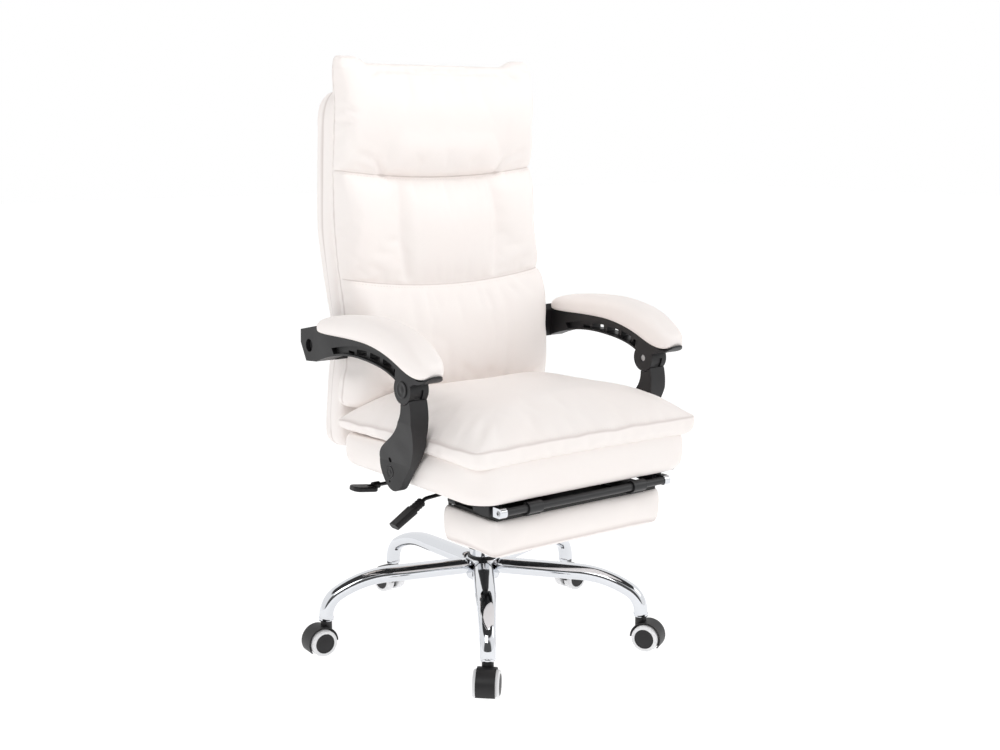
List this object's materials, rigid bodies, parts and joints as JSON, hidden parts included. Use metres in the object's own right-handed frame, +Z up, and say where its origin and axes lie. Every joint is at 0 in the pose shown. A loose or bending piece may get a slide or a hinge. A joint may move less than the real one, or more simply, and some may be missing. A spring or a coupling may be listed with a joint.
{
  "type": "reclining office chair with footrest",
  "caption": "White upholstered reclining office chair with boxed seat, pillow-top back, black linked armrests, pull-out footrest, gas column and star base on casters.",
  "frame": {"origin": "on the floor under the axis of the gas column", "axes": "+Z up, the sitter faces -Y, +X is the sitter's left"},
  "size_m": [0.6771, 0.6752, 1.088],
  "materials": {
    "white_leather": "satin",
    "black_plastic": "satin",
    "caster_polymer": "satin",
    "chrome": "polished",
    "black_steel": "satin",
    "bright_steel": "polished",
    "zinc_steel": "satin",
    "plywood": "matte",
    "black_board": "matte"
  },
  "bodies": {
    "base": {"base_star": "chrome", "gas_sleeve": "chrome", "cover_lower": "black_plastic"},
    "spindle": {"piston_rod": "bright_steel", "thrust_bearing": "bright_steel"},
    "cover_middle": {"cover_middle": "black_plastic"},
    "seat": {"gas_cylinder": "bright_steel", "cover_upper": "black_plastic", "mechanism_housing": "black_steel", "seat_frame": "plywood", "seat_base_cushion": "white_leather", "seat_pillow_pad": "white_leather", "footrest_guides": "black_plastic", "back_hinge_arms": "black_steel", "seat_bolts": "zinc_steel"},
    "release_button": {"release_button": "zinc_steel"},
    "height_lever": {"height_lever_rod": "black_steel", "height_lever_paddle": "black_plastic"},
    "recline_lever": {"recline_lever_rod": "black_steel", "recline_lever_grip": "black_plastic"},
    "back": {"back_frame": "plywood", "back_shell": "white_leather", "back_pillow_pad": "white_leather", "back_hinge_leaves": "black_steel", "back_hinge_pins": "zinc_steel", "back_bolts": "zinc_steel"},
    "post_left": {"post_left": "black_plastic", "knuckle_pin_left": "zinc_steel"},
    "arm_left": {"arm_left": "black_plastic", "arm_pad_left": "white_leather"},
    "post_right": {"post_right": "black_plastic", "knuckle_pin_right": "zinc_steel"},
    "arm_right": {"arm_right": "black_plastic", "arm_pad_right": "white_leather"},
    "footrest_frame": {"footrest_runners": "black_steel", "footrest_tube": "black_steel", "footrest_corners": "chrome"},
    "footrest_pad": {"footrest_cushion": "white_leather", "footrest_board": "black_board", "footrest_hinges": "black_steel"},
    "caster_1": {"caster_1_hood": "black_plastic", "caster_1_pins": "zinc_steel"},
    "caster_1_wheel_inner": {"caster_1_wheel_inner": "caster_polymer"},
    "caster_1_wheel_outer": {"caster_1_wheel_outer": "caster_polymer"},
    "caster_2": {"caster_2_hood": "black_plastic", "caster_2_pins": "zinc_steel"},
    "caster_2_wheel_inner": {"caster_2_wheel_inner": "caster_polymer"},
    "caster_2_wheel_outer": {"caster_2_wheel_outer": "caster_polymer"},
    "caster_3": {"caster_3_hood": "black_plastic", "caster_3_pins": "zinc_steel"},
    "caster_3_wheel_inner": {"caster_3_wheel_inner": "caster_polymer"},
    "caster_3_wheel_outer": {"caster_3_wheel_outer": "caster_polymer"},
    "caster_4": {"caster_4_hood": "black_plastic", "caster_4_pins": "zinc_steel"},
    "caster_4_wheel_inner": {"caster_4_wheel_inner": "caster_polymer"},
    "caster_4_wheel_outer": {"caster_4_wheel_outer": "caster_polymer"},
    "caster_5": {"caster_5_hood": "black_plastic", "caster_5_pins": "zinc_steel"},
    "caster_5_wheel_inner": {"caster_5_wheel_inner": "caster_polymer"},
    "caster_5_wheel_outer": {"caster_5_wheel_outer": "caster_polymer"}
  },
  "joints": [
    {"name": "seat_swivel", "type": "hinge", "parent": "base", "child": "spindle", "pos_m": [0, 0, 0.12], "axis": [0, 0, 1], "continuous": true},
    {"name": "seat_height", "type": "slide", "parent": "spindle", "child": "seat", "axis": [0, 0, 1], "range_m": [0, 0.1]},
    {"name": "cover_slide", "type": "slide", "parent": "spindle", "child": "cover_middle", "axis": [0, 0, 1], "range_m": [0, 0.05]},
    {"name": "height_lever_turn", "type": "hinge", "parent": "seat", "child": "height_lever", "pos_m": [-0.046, 0, 0.334], "axis": [0, 1, 0], "range_deg": [0, 4]},
    {"name": "release_press", "type": "slide", "parent": "seat", "child": "release_button", "axis": [0, 0, -1], "range_m": [0, 0.00342]},
    {"name": "recline_lever_turn", "type": "hinge", "parent": "seat", "child": "recline_lever", "pos_m": [-0.046, -0.097, 0.328], "axis": [0, 1, 0], "range_deg": [0, 2.5]},
    {"name": "recline", "type": "hinge", "parent": "seat", "child": "back", "pos_m": [0, 0.218, 0.413], "axis": [-1, 0, 0], "range_deg": [0, 45]},
    {"name": "post_left_swing", "type": "hinge", "parent": "seat", "child": "post_left", "pos_m": [0.257, -0.09, 0.376], "axis": [-1, 0, 0], "range_deg": [0, 45]},
    {"name": "arm_left_swing", "type": "hinge", "parent": "post_left", "child": "arm_left", "pos_m": [0.2715, -0.168, 0.535], "axis": [-1, 0, 0], "range_deg": [-45, 0]},
    {"name": "post_right_swing", "type": "hinge", "parent": "seat", "child": "post_right", "pos_m": [-0.257, -0.09, 0.376], "axis": [-1, 0, 0], "range_deg": [0, 45]},
    {"name": "arm_right_swing", "type": "hinge", "parent": "post_right", "child": "arm_right", "pos_m": [-0.2715, -0.168, 0.535], "axis": [-1, 0, 0], "range_deg": [-45, 0]},
    {"name": "footrest_slide", "type": "slide", "parent": "seat", "child": "footrest_frame", "axis": [0, -1, 0], "range_m": [0, 0.23]},
    {"name": "footrest_flip", "type": "hinge", "parent": "footrest_frame", "child": "footrest_pad", "pos_m": [0, -0.304, 0.336], "axis": [-1, 0, 0], "range_deg": [0, 180]},
    {"name": "caster_1_swivel", "type": "hinge", "parent": "base", "child": "caster_1", "pos_m": [-0.17679, -0.25343, 0.07], "axis": [0, 0, 1], "continuous": true},
    {"name": "caster_1_roll_inner", "type": "hinge", "parent": "caster_1", "child": "caster_1_wheel_inner", "pos_m": [-0.1865, -0.26351, 0.025], "axis": [0.7206, -0.6934, 0], "continuous": true},
    {"name": "caster_1_roll_outer", "type": "hinge", "parent": "caster_1", "child": "caster_1_wheel_outer", "pos_m": [-0.1865, -0.26351, 0.025], "axis": [0.7206, -0.6934, 0], "continuous": true},
    {"name": "caster_2_swivel", "type": "hinge", "parent": "base", "child": "caster_2", "pos_m": [-0.29566, 0.08983, 0.07], "axis": [0, 0, 1], "continuous": true},
    {"name": "caster_2_roll_inner", "type": "hinge", "parent": "caster_2", "child": "caster_2_wheel_inner", "pos_m": [-0.30961, 0.0909, 0.025], "axis": [-0.0767, -0.9971, 0], "continuous": true},
    {"name": "caster_2_roll_outer", "type": "hinge", "parent": "caster_2", "child": "caster_2_wheel_outer", "pos_m": [-0.30961, 0.0909, 0.025], "axis": [-0.0767, -0.9971, 0], "continuous": true},
    {"name": "caster_3_swivel", "type": "hinge", "parent": "base", "child": "caster_3", "pos_m": [-0.00593, 0.30894, 0.07], "axis": [0, 0, 1], "continuous": true},
    {"name": "caster_3_roll_inner", "type": "hinge", "parent": "caster_3", "child": "caster_3_wheel_inner", "pos_m": [-0.00766, 0.32284, 0.025], "axis": [-0.9923, -0.1236, 0], "continuous": true},
    {"name": "caster_3_roll_outer", "type": "hinge", "parent": "caster_3", "child": "caster_3_wheel_outer", "pos_m": [-0.00766, 0.32284, 0.025], "axis": [-0.9923, -0.1236, 0], "continuous": true},
    {"name": "caster_4_swivel", "type": "hinge", "parent": "base", "child": "caster_4", "pos_m": [0.29199, 0.10111, 0.07], "axis": [0, 0, 1], "continuous": true},
    {"name": "caster_4_roll_inner", "type": "hinge", "parent": "caster_4", "child": "caster_4_wheel_inner", "pos_m": [0.30593, 0.10236, 0.025], "axis": [-0.0889, 0.996, 0], "continuous": true},
    {"name": "caster_4_roll_outer", "type": "hinge", "parent": "caster_4", "child": "caster_4_wheel_outer", "pos_m": [0.30593, 0.10236, 0.025], "axis": [-0.0889, 0.996, 0], "continuous": true},
    {"name": "caster_5_swivel", "type": "hinge", "parent": "base", "child": "caster_5", "pos_m": [0.18639, -0.24645, 0.07], "axis": [0, 0, 1], "continuous": true},
    {"name": "caster_5_roll_inner", "type": "hinge", "parent": "caster_5", "child": "caster_5_wheel_inner", "pos_m": [0.1932, -0.25869, 0.025], "axis": [0.8738, 0.4863, 0], "continuous": true},
    {"name": "caster_5_roll_outer", "type": "hinge", "parent": "caster_5", "child": "caster_5_wheel_outer", "pos_m": [0.1932, -0.25869, 0.025], "axis": [0.8738, 0.4863, 0], "continuous": true}
  ],
  "couplings": [
    {"joint": "cover_slide", "follows": "seat_height", "ratio": 0.5},
    {"joint": "release_press", "follows": "height_lever_turn", "m_per_rad": 0.046},
    {"joint": "post_left_swing", "follows": "recline", "ratio": 1},
    {"joint": "arm_left_swing", "follows": "recline", "ratio": -1},
    {"joint": "post_right_swing", "follows": "recline", "ratio": 1},
    {"joint": "arm_right_swing", "follows": "recline", "ratio": -1}
  ]
}
